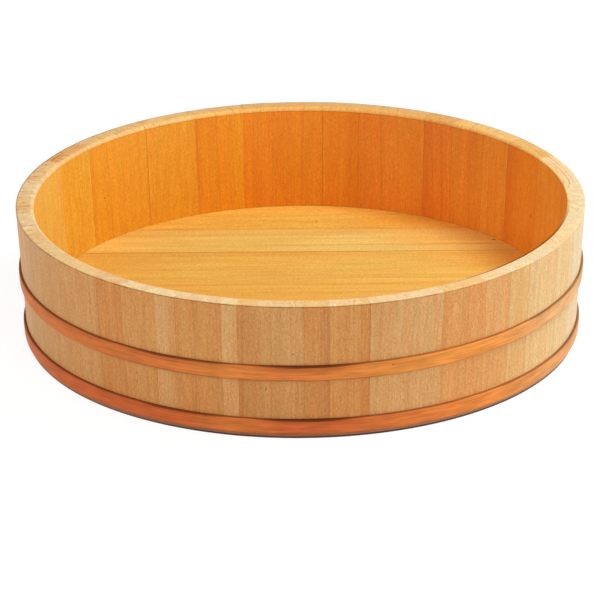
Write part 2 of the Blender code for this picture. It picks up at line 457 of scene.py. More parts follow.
# Painted shade at the foot under the lower hoop: dim and a little lit by the floor, then near black
FOOT_DIM_SHADE = shade(172, 116, 88)
FOOT_DARK_SHADE = shade(36, 24, 18)
FLECK = shade(92, 52, 24)
# Painted shadow and warm bounce light on the floor beside the shaded wall
WALL_GLOW = shade(255, 228, 206)
# Painted reflection of the white surroundings at a hoop's right end
PALE_COPPER = shade(222, 202, 152)
COPPER_SHEEN = shade(255, 206, 158)
# Painted shade and dark reflection along a hoop's upper edge, and the painted dark lines along its edges
SHADE_RED = shade(150, 66, 34)
SHADE_DARK = shade(84, 38, 20)
BAMBOO_DARK = shade(196, 164, 104)
BAMBOO_PALE = shade(226, 200, 144)

# Growth rings: how far they wander along the board and crowd, when in a year the late wood comes and
# goes, and how strong the faintest ring is
RING_WANDER = 0.010
RING_CROWDING = 0.008
LATE_COMES = (0.30, 0.90)
LATE_GOES = (1.0, 0.94)
FAINTEST_RING = 0.15

# The rest of the wood's figure is noise that is drawn out along the board: the share of its scale that
# way, scale and detail
FIGURE = {
    "cloud": (0.22, 26.0, 3.0),
    "tinge": (0.05, 130.0, 2.0),
    "streak": (0.035, 480.0, 3.0),
    "fibre": (0.05, 760.0, 2.0),
    "speckle": (0.38, 840.0, 1.0),
}
RING_DRIFT = (0.10, 14.0, 2.0)
FLOOR_DRIFT = (0.07, 60.0, 3.0)
FLOOR_WAVER = (0.5, 12.0, 2.0)
WAVER_SIZE = 0.006

# How much each kind of figure lightens and darkens the wood: in its own colour, or nearly in grey
BROAD_DEPTHS = {"band": 0.12, "cloud": 0.10}
FINE_DEPTHS = {"streak": 0.15, "fibre": 0.50, "speckle": 0.80}

# How much the growth rings show on the side of a stave, on its end and on a board, and how warm
# the board's wood is
SIDE_RINGS = 0.32
END_RINGS = 0.1
BOARD_RINGS = 0.28
BOARD_WARMTH = 0.4

# Patches in the staves' finish: scale of the noise, its values where a patch starts and is full, and
# how much there is outside and inside it
PATCHES = {
    "strokes": (34.0, 0.40, 0.62, 0.10, 1.0),
    "broken": (260.0, 0.42, 0.60, 0.25, 1.0),
    "mottle": (95.0, 0.38, 0.62, 0.0, 0.30),
    "patchy_edge_shade": (60.0, 0.35, 0.65, 0.45, 1.0),
}
STROKE_EDGE = (0.12, 0.55)
EASED_HIDES = 0.8
EASED_PALES = 0.5
# How deep the painted shade at the foot is: its dim part, and what is left of its dark part at the left
FOOT_DIM_DEPTH = 0.8
LEFT_SHADE = 0.4
FLECK_EDGE = (1.15, 0.55)
FLECK_DEPTH = 0.75

# Surfaces
BUMP_SIZE = 0.0002
WOOD_RELIEF = 0.25
WOOD_GLOSS = 0.35
FINE_RELIEF = 0.2
COPPER_GLOSS = 0.25
COPPER_METAL = 0.45

# Noise along a hoop: how far it is drawn out, scale and detail; and how ragged it makes the painted shade
# along its upper edge
HOOP_STREAKS = (40.0, 22.0, 4.0)
HOOP_PATCHES = (4.0, 34.0, 2.0)
RAGGED = 0.16


# Geometry

def outer_radius(z):
    return FOOT_RADIUS + (RIM_RADIUS - FOOT_RADIUS) * z / HEIGHT


def inner_radius(z):
    return outer_radius(z) - WALL


def from_front(degrees):
    """The direction of a place round the tub, as an angle from +X."""
    return math.radians(degrees - 90.0)


def around(angle, radius, z):
    return Vector((radius * math.cos(angle), radius * math.sin(angle), z))


def smooth_step(value, start, end):
    share = min(max((value - start) / (end - start), 0.0), 1.0)
    return share * share * (3 - 2 * share)


def near(angle, degrees, half_width, much):
    """This much at this place round the tub, falling to 0 beyond its half width."""
    away = math.degrees(math.remainder(angle - from_front(degrees), math.tau))
    return much * math.exp(-((away / half_width) ** 4))


def summed(angle, stretches):
    """What all these stretches give here."""
    return sum(near(angle, *stretch) for stretch in stretches)


def arc(centre, radius, start_deg, end_deg, steps):
    """Points on an arc in the plane of a section, ends included."""
    points = []
    for step in range(steps + 1):
        angle = math.radians(start_deg + (end_deg - start_deg) * step / steps)
        points.append((centre[0] + radius * math.cos(angle), centre[1] + radius * math.sin(angle)))
    return points


def far_off():
    """A random place in the noise, so that no two boards share their grain."""
    return Vector([rng.uniform(0, GRAIN_SPREAD) for _ in range(3)])


# Flecks, each a middle and its half sizes along X, Y and Z

def on_wall(degrees, height_mm, wide_mm, tall_mm, inside=False):
    """A fleck on the wall, given by its place from the front, its height and its half sizes."""
    z = height_mm * MM
    radius = inner_radius(z) if inside else outer_radius(z)
    half = Vector((wide_mm, wide_mm, tall_mm)) * MM
    return around(from_front(degrees), radius, z), half


STAVE_FLECKS = (
    on_wall(-1.7, 103.5, 0.9, 1.2),
    on_wall(-7.0, 60.5, 0.7, 2.6),
    on_wall(-34.4, 57.5, 1.0, 1.1),
    on_wall(-34.4, 47.5, 0.8, 0.8),
    on_wall(115.2, 85, 0.9, 3.6, inside=True),
    on_wall(231, 88.5, 0.9, 1.4, inside=True),
    on_wall(213.7, 67, 0.7, 1.2, inside=True),
)
HOOP_FLECKS = (
    (around(from_front(17.7), outer_radius(0.085) + HOOP_THICKNESS, 0.085), Vector((1.3, 1.3, 1.1)) * MM),
)
FLOOR_FLECKS = (
    (Vector((0.2344, 0.1824, 0.034)), Vector((0.0028, 0.0020, 0.002))),
    (Vector((0.0196, 0.2476, 0.034)), Vector((0.0014, 0.0022, 0.002))),
)


# Node trees

def feed(tree, value, socket):
    """Link a socket to another, or set it to a constant."""
    if isinstance(value, bpy.types.NodeSocket):
        tree.links.new(value, socket)
    else:
        socket.default_value = value


def add(tree, kind, *values, **settings):
    """A new shader node with these settings, whose inputs take these values in order."""
    made = tree.nodes.new("ShaderNode" + kind)
    for name, value in settings.items():
        setattr(made, name, value)
    for socket, value in zip(made.inputs, values):
        if value is not None:
            feed(tree, value, socket)
    return made


def maths(tree, operation, *values):
    return add(tree, "Math", *values, operation=operation).outputs[0]


def linear(tree, value, factor, shift):
    return maths(tree, "MULTIPLY_ADD", value, factor, shift)


def product(tree, *values):
    made = values[0]
    for value in values[1:]:
        made = maths(tree, "MULTIPLY", made, value)
    return made


def vectors(tree, operation, *values):
    return add(tree, "VectorMath", *values, operation=operation).outputs[0]


def measure(tree, operation, *values):
    """A number made from vectors, such as a length."""
    return add(tree, "VectorMath", *values, operation=operation).outputs["Value"]


def noise_of(tree, place, scale, detail=2.0):
    return add(tree, "TexNoise", place, None, scale, detail).outputs[0]


def noise_along(tree, distance, scale, detail=2.0):
    """Noise of one number, such as a distance."""
    return add(tree, "TexNoise", None, distance, scale, detail, noise_dimensions="1D").outputs[0]


def drawn_out(tree, place, along, scale, detail):
    """Noise that is stretched along the board."""
    return noise_of(tree, vectors(tree, "MULTIPLY", place, (1.0, along, 1.0)), scale, detail)


def swayed(tree, value, size):
    """Noise as a shift of up to half this size either way."""
    return linear(tree, value, size, -size / 2)


def ramp(tree, value, start, end, low=0.0, high=1.0):
    """From low to high, smoothly, as the value goes from start to end."""
    made = add(tree, "MapRange", value, start, end, low, high, interpolation_type="SMOOTHSTEP")
    return made.outputs[0]


def patches(tree, place, name):
    scale, start, end, low, high = PATCHES[name]
    return ramp(tree, noise_of(tree, place, scale), start, end, low, high)


def blend(tree, factor, first, second, way="MIX"):
    made = add(tree, "Mix", data_type="RGBA", blend_type=way)
    for index, value in ((0, factor), (6, first), (7, second)):
        feed(tree, value, made.inputs[index])
    return made.outputs[2]


def times(tree, colour, other):
    return blend(tree, 1.0, colour, other, "MULTIPLY")


def toned(tree, factor, colour, tone):
    """A colour that goes over into its product with a tone."""
    return blend(tree, factor, colour, times(tree, colour, tone))


def split(tree, vector):
    return add(tree, "SeparateXYZ", vector).outputs


def joined(tree, x, y, z):
    return add(tree, "CombineXYZ", x, y, z).outputs[0]


def grey(tree, value):
    """A number as a grey colour, for multiplying a colour by it."""
    return add(tree, "CombineColor", value, value, value).outputs[0]


def attribute(tree, name, output="Fac"):
    return add(tree, "Attribute", attribute_name=name).outputs[output]


def object_place(tree):
    return add(tree, "TexCoord").outputs["Object"]


def new_material(name):
    made = bpy.data.materials.new(name)
    made.use_nodes = True
    tree = made.node_tree
    return made, tree, tree.nodes["Principled BSDF"]


# Finishes

def wood_grain():
    """Node group: growth rings, bands, clouds and fibres at a place in a board.

    The place is across, along and through the board, and the pith is the log's middle there.
    """
    tree = bpy.data.node_groups.new("wood_grain", "ShaderNodeTree")
    for name, kind in (("place", "Vector"), ("pith", "Vector"), ("spacing", "Float")):
        tree.interface.new_socket(name, in_out="INPUT", socket_type="NodeSocket" + kind)
    for name in ("ring", "band", *FIGURE):
        tree.interface.new_socket(name, in_out="OUTPUT", socket_type="NodeSocketFloat")
    given = tree.nodes.new("NodeGroupInput").outputs
    place, pith, spacing = given["place"], given["pith"], given["spacing"]

    wander = swayed(tree, drawn_out(tree, place, *RING_DRIFT), RING_WANDER)
    flat_place = vectors(tree, "MULTIPLY", place, (1.0, 0.0, 1.0))
    reach = maths(tree, "ADD", measure(tree, "DISTANCE", flat_place, pith), wander)
    crowding = swayed(tree, noise_along(tree, reach, 120.0), RING_CROWDING)
    count = maths(tree, "DIVIDE", maths(tree, "ADD", reach, crowding), spacing)
    phase = maths(tree, "FRACT", count)
    late = product(tree, ramp(tree, phase, *LATE_COMES), ramp(tree, phase, *LATE_GOES))
    year = add(tree, "TexWhiteNoise", None, maths(tree, "FLOOR", count), noise_dimensions="1D")
    strength = maths(tree, "POWER", year.outputs[0], 2.0)
    strength = linear(tree, strength, 1 - FAINTEST_RING, FAINTEST_RING)

    made = {
        "ring": product(tree, late, strength),
        "band": noise_along(tree, reach, 85.0, 3.0),
    }
    for name, (along, scale, detail) in FIGURE.items():
        made[name] = drawn_out(tree, place, along, scale, detail)
    out = tree.nodes.new("NodeGroupOutput").inputs
    for name, value in made.items():
        feed(tree, value, out[name])


def grain_of(tree, place, pith, spacing):
    """The grain at this place as a dictionary of sockets."""
    made = add(tree, "Group", node_tree=bpy.data.node_groups["wood_grain"])
    for name, value in (("place", place), ("pith", pith), ("spacing", spacing)):
        feed(tree, value, made.inputs[name])
    return made.outputs


def depth_of(tree, grain, depths):
    """How light or dark these kinds of figure make the wood, about 1."""
    changes = [linear(tree, grain[name], depth, 1 - depth / 2) for name, depth in depths.items()]
    return product(tree, *changes)


def figured(tree, colour, grain, ring_depth, warmth):
    """A wood colour with the board's rings, bands, clouds and fibres in it.

    The warmer the wood, the more its fine figure has to change the blue to look grey.
    """
    ring = product(tree, grain["ring"], ramp(tree, grain["fibre"], 0.35, 0.60, 0.3, 1.0), ring_depth)
    made = toned(tree, ring, colour, LATE_WOOD)
    made = toned(tree, ramp(tree, grain["tinge"], 0.36, 0.64, 0.0, 0.45), made, TINGE)
    made = times(tree, made, grey(tree, depth_of(tree, grain, BROAD_DEPTHS)))
    fine = depth_of(tree, grain, FINE_DEPTHS)
    red = maths(tree, "POWER", fine, linear(tree, warmth, -0.2, 0.7))
    blue = maths(tree, "POWER", fine, linear(tree, warmth, 1.6, 1.7))
    return times(tree, made, add(tree, "CombineColor", red, fine, blue).outputs[0])


def relief(tree, shader, height, strength):
    """Fine bumps on a surface."""
    made = add(tree, "Bump")
    made.inputs["Strength"].default_value = strength
    made.inputs["Distance"].default_value = BUMP_SIZE
    feed(tree, height, made.inputs["Height"])
    feed(tree, made.outputs[0], shader.inputs["Normal"])


def grain_surface(tree, shader, grain):
    """Dry planed wood: fine relief from fibres and late wood, and uneven gloss."""
    relief(tree, shader, linear(tree, grain["ring"], 0.4, grain["fibre"]), WOOD_RELIEF)
    shader.inputs["Specular IOR Level"].default_value = WOOD_GLOSS
    dry = linear(tree, grain["ring"], -0.08, 0.46)
    feed(tree, linear(tree, grain["cloud"], 0.2, dry), shader.inputs["Roughness"])


def flecked(tree, colour, flecks):
    """A colour with small dark flecks in it."""
    dark = 0.0
    at = object_place(tree)
    for middle, half in flecks:
        away = vectors(tree, "DIVIDE", vectors(tree, "SUBTRACT", at, middle), half)
        dark = maths(tree, "MAXIMUM", dark, ramp(tree, measure(tree, "LENGTH", away), *FLECK_EDGE))
    return blend(tree, product(tree, dark, FLECK_DEPTH), colour, FLECK)


def rim_marked(tree, colour, at):
    """End grain with the rim's stains in it."""
    reach = measure(tree, "LENGTH", joined(tree, at[0], at[1], 0.0))
    turn = maths(tree, "ARCTAN2", at[0], product(tree, at[1], -1.0))
    dark = 0.0
    for place, radius, wide, long, much in RIM_MARKS:
        across = linear(tree, reach, 1 / (wide * MM), -radius / wide)
        around_it = radius / long
        along = linear(tree, turn, around_it, -math.radians(place) * around_it)
        far = measure(tree, "LENGTH", joined(tree, across, along, 0.0))
        dark = maths(tree, "MAXIMUM", dark, ramp(tree, far, *MARK_EDGE, 0.0, much))
    return blend(tree, dark, colour, STAINED)


def stave_side(tree, grain):
    """The inner and outer faces of a stave."""
    inside = attribute(tree, "inside")
    outer_tint = attribute(tree, "tint_outside", "Color")
    side = blend(tree, inside, outer_tint, attribute(tree, "tint_inside", "Color"))
    side = toned(tree, attribute(tree, "lean"), side, REDDISH)
    side = figured(tree, side, grain, SIDE_RINGS, inside)
    side = flecked(tree, side, STAVE_FLECKS)
    return blend(tree, attribute(tree, "seam"), side, JOINT_DARK)


def stave_end(tree, grain, place, at):
    """End grain: broken strokes where the rings end, mottling, painted warm light from inside the tub, an
    eased inner edge that is paler and partly a painted highlight, and stains.
    """
    shown = attribute(tree, "strokes")
    eased = attribute(tree, "eased")
    stroke = product(tree, ramp(tree, grain["ring"], *STROKE_EDGE), patches(tree, place, "strokes"), shown)
    stroke = product(tree, stroke, patches(tree, place, "broken"), linear(tree, eased, -EASED_HIDES, 1.0))
    mottle = product(tree, patches(tree, place, "mottle"), shown)
    # The rim is toned by painted warm light from inside the tub
    end = toned(tree, attribute(tree, "warm"), attribute(tree, "tint_rim", "Color"), WARM_LIGHT)
    end = blend(tree, mottle, end, MOTTLED)
    end = blend(tree, stroke, end, END_STROKE)
    # The paler eased inner edge, with a painted highlight where it faces the light
    end = blend(tree, product(tree, eased, EASED_PALES), end, EASED_EDGE)
    end = rim_marked(tree, end, split(tree, at))
    return figured(tree, end, grain, END_RINGS, 0.0)


def stave_wood():
    """Wood of the staves, paler on the end grain of the rim and more orange inside, partly as painted
    bounce light, with painted light and shade on the rim and painted shade at the foot.
    """
    made, tree, shader = new_material("stave_wood_finish")
    place = attribute(tree, "place", "Vector")
    grain = grain_of(tree, place, attribute(tree, "pith", "Vector"), attribute(tree, "spacing"))
    at = object_place(tree)
    end = stave_end(tree, grain, place, at)
    colour = blend(tree, attribute(tree, "end_grain"), stave_side(tree, grain), end)

    # Painted shade along the rim's outer edge, broken into patches
    patchy_edge_shade = product(tree, attribute(tree, "arris"), patches(tree, at, "patchy_edge_shade"))
    colour = blend(tree, patchy_edge_shade, colour, EDGE_LINE)
    # Painted shade inside the rim
    inner_shade = attribute(tree, "inner_shade")
    colour = blend(tree, inner_shade, colour, INNER_LINE)
    to_right, _, height = split(tree, at)
    # Painted shade at the foot, under the lower hoop: dim, then near black at the bottom, and fainter
    # toward the left
    dimmed_foot = ramp(tree, height, FOOT_DIM_HEIGHT, 0.5 * FOOT_DIM_HEIGHT, 0.0, FOOT_DIM_DEPTH)
    colour = blend(tree, dimmed_foot, colour, FOOT_DIM_SHADE)
    foot_shade = ramp(tree, to_right, FAINTER_LEFT, SHADED_FROM, LEFT_SHADE, 1.0)
    foot_shade = product(tree, ramp(tree, height, FOOT_DARK_HEIGHT, 0.5 * FOOT_DARK_HEIGHT), foot_shade)
    colour = blend(tree, foot_shade, colour, FOOT_DARK_SHADE)
    feed(tree, colour, shader.inputs["Base Color"])
    grain_surface(tree, shader, grain)
    # No gloss where the painted shade inside the rim lies
    gloss = linear(tree, inner_shade, -WOOD_GLOSS, WOOD_GLOSS)
    feed(tree, gloss, shader.inputs["Specular IOR Level"])
    return made


def streak_of(tree, along, across, streaks):
    """How far a place on the floor is in one of these streaks."""
    share = 0.0
    for middle, half_width, start, end, much in streaks:
        away = maths(tree, "ABSOLUTE", maths(tree, "SUBTRACT", across, middle * MM))
        across_it = ramp(tree, away, half_width * MM, STREAK_CORE * half_width * MM)
        begun = ramp(tree, along, (start - STREAK_FADE) * MM, (start + STREAK_FADE) * MM)
        over = ramp(tree, along, (end + STREAK_FADE) * MM, (end - STREAK_FADE) * MM, 0.0, much)
        share = maths(tree, "MAXIMUM", share, product(tree, across_it, begun, over))
    return share


def wall_glow(tree, at):
    """How far a place on the floor gets painted shadow and warm bounce light from the shaded wall at the
    back right.
    """
    flat = joined(tree, at[0], at[1], 0.0)
    reach = measure(tree, "LENGTH", flat)
    toward = measure(tree, "DOT_PRODUCT", flat, around(from_front(GLOW_PLACE), 1.0, 0.0))
    facing = ramp(tree, maths(tree, "DIVIDE", toward, reach), *GLOW_FACING)
    return product(tree, facing, ramp(tree, reach, GLOW_START, GLOW_FULL))


def board_wood(name, tint, pith, spacing, offset, back_edge, joint_dark):
    """Wood of one board of the base, whose grain runs from left to right."""
    made, tree, shader = new_material(name)
    at = split(tree, object_place(tree))
    place = vectors(tree, "ADD", joined(tree, at[1], at[0], at[2]), offset)
    grain = grain_of(tree, place, pith, spacing)
    colour = figured(tree, TINTS[tint], grain, BOARD_RINGS, BOARD_WARMTH)
    drift = ramp(tree, drawn_out(tree, place, *FLOOR_DRIFT), 0.25, 0.75, 0.95, 1.05)
    colour = times(tree, colour, grey(tree, drift))
    across = maths(tree, "ADD", at[1], swayed(tree, drawn_out(tree, place, *FLOOR_WAVER), WAVER_SIZE))
    colour = toned(tree, streak_of(tree, at[0], across, DARK_STREAKS), colour, LATE_WOOD)
    colour = toned(tree, streak_of(tree, at[0], across, PALE_STREAKS), colour, PALE_LIGHT)
    # Painted light, paler toward the right
    colour = toned(tree, ramp(tree, at[0], PALING_START, PALING_END, 0.0, PALING), colour, PALE_LIGHT)
    # Painted shadow and warm bounce light beside the shaded wall
    colour = toned(tree, wall_glow(tree, at), colour, WALL_GLOW)
    colour = flecked(tree, colour, FLOOR_FLECKS)
    joint = ramp(tree, at[1], back_edge - JOINT_LINE, back_edge, 0.0, joint_dark)
    colour = blend(tree, joint, colour, JOINT_DARK)
    feed(tree, colour, shader.inputs["Base Color"])
    grain_surface(tree, shader, grain)
    return made


def along_hoop(tree, at, stretch, scale, detail):
    """Noise that is drawn out along a hoop."""
    place = joined(tree, at[0], at[1], product(tree, at[2], stretch))
    return noise_of(tree, place, scale, detail)


def copper(name, shaded_tone, lit_tone):
    """Worn copper of a hoop: long streaks, painted light that grows toward its right, a reddish painted
    shade and dark reflection toward its upper edge, and painted dark lines along its edges.
    """
    made, tree, shader = new_material(name)
    at = split(tree, object_place(tree))
    streak = along_hoop(tree, at, *HOOP_STREAKS)
    patch = along_hoop(tree, at, *HOOP_PATCHES)
    # Painted light: the shaded tone on the left goes over to the lit one on the right, and a painted
    # reflection pales the right end
    colour = blend(tree, attribute(tree, "glow"), shaded_tone, lit_tone)
    colour = blend(tree, attribute(tree, "pale"), colour, PALE_COPPER)
    tone = linear(tree, streak, 0.75, product(tree, patch, 0.5))
    colour = times(tree, colour, grey(tree, ramp(tree, tone, 0.40, 0.85, 0.74, 1.20)))

    # Painted shade and dark reflection toward the upper edge, ragged along the streaks and ending in a
    # dark line; and a painted dark line along the lower edge
    up = attribute(tree, "up")
    upper_shade = attribute(tree, "upper_shade")
    ragged = maths(tree, "ADD", up, swayed(tree, streak, RAGGED))
    red_shade = product(tree, ramp(tree, ragged, 0.50, 1.05), upper_shade)
    colour = blend(tree, maths(tree, "MINIMUM", red_shade, 0.85), colour, SHADE_RED)
    line_from = linear(tree, upper_shade, -0.10, 0.99)
    line = ramp(tree, maths(tree, "SUBTRACT", ragged, line_from), -0.06, 0.0)
    line = product(tree, line, linear(tree, upper_shade, 0.36, 0.56))
    lower_shade = ramp(tree, up, 0.10, 0.0, 0.0, 0.35)
    dark = maths(tree, "MAXIMUM", line, lower_shade)
    colour = blend(tree, dark, colour, SHADE_DARK)
    colour = flecked(tree, colour, HOOP_FLECKS)
    feed(tree, colour, shader.inputs["Base Color"])
    shader.inputs["Metallic"].default_value = COPPER_METAL
    shader.inputs["Specular IOR Level"].default_value = COPPER_GLOSS
    shader.inputs["Specular Tint"].default_value = COPPER_SHEEN
    rough = linear(tree, streak, 0.2, 0.35)
    feed(tree, linear(tree, dark, 0.3, rough), shader.inputs["Roughness"])
    relief(tree, shader, streak, FINE_RELIEF)
    return made


def bamboo():
    """Split bamboo of the dowels, whose fibres run from front to back."""
    made, tree, shader = new_material("bamboo_finish")
    fibre = drawn_out(tree, object_place(tree), 0.03, 2200.0, 3.0)
    colour = blend(tree, ramp(tree, fibre, 0.35, 0.65), BAMBOO_DARK, BAMBOO_PALE)
    feed(tree, colour, shader.inputs["Base Color"])
    feed(tree, ramp(tree, fibre, 0.3, 0.7, 0.6, 0.42), shader.inputs["Roughness"])
    relief(tree, shader, fibre, FINE_RELIEF)
    return made


# Meshes

def put(name, data):
    """A new object of this name in the scene."""
    made = bpy.data.objects.new(name, data)
    bpy.context.scene.collection.objects.link(made)
    return made


def show(name, vertices, faces):
    """A new piece of this name, smooth apart from its sharp edges."""
    mesh = bpy.data.meshes.new(name)
    mesh.from_pydata(vertices, [], faces)
    mesh.shade_smooth()
    mesh.set_sharp_from_angle(angle=SHARP_ANGLE)
    return put(name, mesh)


def loft(sections, count, closed):
    """Faces between each section of this many points and the next, with caps unless it is closed."""
    faces = []
    for section in range(sections if closed else sections - 1):
        here = section * count
        there = (section + 1) % sections * count
        for row in range(count):
            after = (row + 1) % count
            faces.append((here + row, there + row, there + after, here + after))
    if not closed:
        faces.append(tuple(range(count)))
        faces.append(tuple(reversed(range((sections - 1) * count, sections * count))))
    return faces


def write_attribute(mesh, name, kind, values):
    """Store one value for each vertex; a number, a vector or a colour."""
    made = mesh.attributes.new(name, kind, "POINT")
    field = {"FLOAT": "value", "FLOAT_VECTOR": "vector", "FLOAT_COLOR": "color"}[kind]
    flat = []
    for value in values:
        flat.extend(value if kind != "FLOAT" else (value,))
    made.data.foreach_set(field, flat)


def write_even(mesh, name, kind, value):
    write_attribute(mesh, name, kind, [value] * len(mesh.vertices))


def write_numbers(mesh, rows):
    """Store the named numbers of each vertex."""
    for name in rows[0]:
        write_attribute(mesh, name, "FLOAT", [row[name] for row in rows])


# Staves

class Point(NamedTuple):
    """A point of the wall's section, and what the finish needs to know there.

    It tells how far the point is inside the tub, how far it is end grain, how near it is to the sharp
    outer edge of the rim, and how far it is down the rim's rounded inner edge.
    """
    radius: float
    height: float
    inside: float = 0.0
    end_grain: float = 0.0
    edge: float = 0.0
    down: float = 0.0


class Column(NamedTuple):
    """The wall's section at one angle of a stave, and how dark the joint's line is there."""
    angle: float
    line: float
    section: list


def inner_round(angle):
    """The round of the rim's inner edge, which is nearly sharp on the right."""
    return RIM_INNER_ROUND - near(angle, *SHARP_INSIDE)


def edge_dark(angle):
    """How dark the painted shade on the outer edge of the rim is; it is gone where the light comes from.
    """
    return 1.0 - near(angle, *BRIGHT_EDGE)


def edge_power(angle):
    """How quickly that painted shade falls off from the edge, which is less where the edge is soft."""
    return SHARP_FALL - near(angle, *SOFT_EDGE)


def inner_dark(angle, down):
    """How much painted shade lies on the rim's inner edge: all of it at the right, and a line under it at
    the back.
    """
    right = near(angle, *DARK_INSIDE) * smooth_step(down, 0.0, ON_ROUND)
    back = near(angle, *LINED_BACK) * smooth_step(down, LINE_UNDER, 1.0)
    return right + back


def eased_light(angle):
    """How pale the rim's rounded inner edge is: a little everywhere as a paler planed edge, and most where
    it faces the light, as a painted highlight.
    """
    return EASED_LEAST + near(angle, *LIT_INSIDE)


def end_reach(angle):
    """How far down the rim's rounded inner edge the end grain goes."""
    return max(eased_light(angle), near(angle, *ENDED_BACK))


def rim_warmth(angle, radius):
    """How orange the rim is: toward its inner edge, from the light inside the tub, and at one joint."""
    share = (RIM_RADIUS - radius) / WALL
    back = near(angle, *WARM_BACK) * smooth_step(share, 0.08, 0.95)
    right = near(angle, *WARM_RIGHT) * smooth_step(share, 1 - WARM_WIDTH / WALL, 0.95)
    return max(back, right, near(angle, *WARM_JOINT))


def stave_section(rounded, light):
    """The wall's section as a closed loop of points.

    The end grain goes farther down the rim's inner edge where that is pale in the light.
    """
    below_edge = HEIGHT - RIM_OUTER_ROUND - ARRIS_WIDTH
    section = [Point(outer_radius(z), z) for z in (FOOT_CHAMFER, LOW_WALL, HIGH_WALL, below_edge)]
    centre = (RIM_RADIUS - RIM_OUTER_ROUND, HEIGHT - RIM_OUTER_ROUND)
    for step, (r, z) in enumerate(arc(centre, RIM_OUTER_ROUND, 0, 90, OUTER_ROUND_STEPS)):
        share = step / OUTER_ROUND_STEPS
        section.append(Point(r, z, end_grain=share, edge=1 - share))

    rim_inside = RIM_RADIUS - WALL
    beside = rim_inside + rounded
    flat = WARM_WIDTH - rounded
    section += [
        Point(rim_inside + WARM_WIDTH, HEIGHT, end_grain=1),
        Point(beside + LINE_FADE * flat, HEIGHT, inside=1, end_grain=1),
        Point(beside + LINE_FULL * flat, HEIGHT, inside=1, end_grain=1, down=ON_ROUND),
    ]
    inner_edge = arc((beside, HEIGHT - rounded), rounded, 90, 180, INNER_ROUND_STEPS)
    for step, (r, z) in enumerate(inner_edge):
        share = step / INNER_ROUND_STEPS
        end_grain = 1 - smooth_step(share, 0.4 + 0.45 * light, 0.75 + 0.25 * light)
        down = ON_ROUND + (1 - ON_ROUND) * share
        section.append(Point(r, z, inside=1, end_grain=end_grain, down=down))

    below_round = HEIGHT - rounded - ARRIS_WIDTH
    section += [Point(inner_radius(z), z, inside=1) for z in (below_round, CROZE_TOP)]
    section += [Point(CROZE_RADIUS, z, inside=1) for z in (CROZE_TOP, CROZE_BOTTOM)]
    section += [Point(inner_radius(z), z, inside=1) for z in (CROZE_BOTTOM, FOOT_CHAMFER)]
    section += [
        Point(inner_radius(0) + FOOT_CHAMFER, 0, inside=1, end_grain=1),
        Point(outer_radius(0) - FOOT_CHAMFER, 0, end_grain=1),
    ]
    return section


def drawn_in(section, inset):
    """The section made smaller all round, for the chamfer at a joint."""
    places = [Vector((point.radius, point.height)) for point in section]
    made = []
    for index, point in enumerate(section):
        before = places[index - 1]
        here = places[index]
        after = places[(index + 1) % len(places)]
        sides = []
        for run in (here - before, after - here):
            sides.append(Vector((-run.y, run.x)).normalized())
        inward = (sides[0] + sides[1]).normalized()
        inward *= inset / max(inward.dot(sides[0]), SHARPEST_CORNER)
        made.append(point._replace(radius=point.radius + inward.x, height=point.height + inward.y))
    return made


def stave_span(node):
    """First and last angle of a stave, measured on its rim, with a little more to fill the joints."""
    points = [v.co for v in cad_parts[node].data.vertices if v.co.z > HEIGHT - RIM_OUTER_ROUND]
    middle = math.atan2(sum(p.y for p in points), sum(p.x for p in points))
    turns = [math.remainder(math.atan2(p.y, p.x) - middle, math.tau) for p in points]
    fill = JOINT_FILL / RIM_RADIUS
    return middle + min(turns) - fill, middle + max(turns) + fill


def stave_columns(number, first, last):
    """The columns of a stave from its first joint to its last, chamfered at both."""
    edge = JOINT_CHAMFER / RIM_RADIUS
    seam = SEAM_WIDTH / RIM_RADIUS
    steps = max(1, math.ceil((last - first) / STEP_ANGLE))
    first_line = JOINT_LINES.get(number, FAINT_JOINT)
    last_line = JOINT_LINES.get(number % len(STAVES) + 1, FAINT_JOINT)
    turns = [(first, first_line), (first + edge, first_line)]
    for step in range(steps + 1):
        turns.append((first + seam + (last - first - 2 * seam) * step / steps, 0.0))
    turns += [(last - edge, last_line), (last, last_line)]
    columns = []
    for angle, line in turns:
        section = stave_section(inner_round(angle), end_reach(angle))
        if angle in (first, last):
            section = drawn_in(section, JOINT_CHAMFER)
        columns.append(Column(angle, line, section))
    return columns


def write_grain(mesh, columns, cut):
    """Where each vertex is in its board, where the log's pith is, and how far apart its rings are."""
    middle = (columns[0].angle + columns[-1].angle) / 2
    start = far_off()
    places = []
    for angle, _, section in columns:
        for point in section:
            across = point.radius * math.sin(angle - middle)
            through = point.radius * math.cos(angle - middle) - RIM_RADIUS
            places.append(Vector((across, point.height, through)) + start)
    pith_across, pith_through, spacing = CUTS[cut]
    pith = Vector((pith_across * rng.uniform(*PITH_SPREAD) * rng.choice((-1, 1)), 0,
                   pith_through * rng.uniform(*PITH_SPREAD))) * MM
    write_attribute(mesh, "place", "FLOAT_VECTOR", places)
    write_even(mesh, "pith", "FLOAT_VECTOR", pith + Vector((start.x, 0, start.z)))
    write_even(mesh, "spacing", "FLOAT", spacing * MM * rng.uniform(*SPACING_SPREAD))


def finish_at(angle, line, point, lean):
    """What the finish needs to know at a point of a stave whose tone leans so far there."""
    if not point.inside and point.height <= LOW_WALL:
        lean = max(lean, 0) + summed(angle, RED_STRETCHES)
    return {
        "inside": point.inside,
        "end_grain": point.end_grain,
        "arris": point.edge ** edge_power(angle) * edge_dark(angle),
        "eased": eased_light(angle) * smooth_step(point.down, ON_ROUND, EASED_FULL),
        "inner_shade": inner_dark(angle, point.down),
        "warm": rim_warmth(angle, point.radius),
        "lean": lean,
        "seam": line,
    }


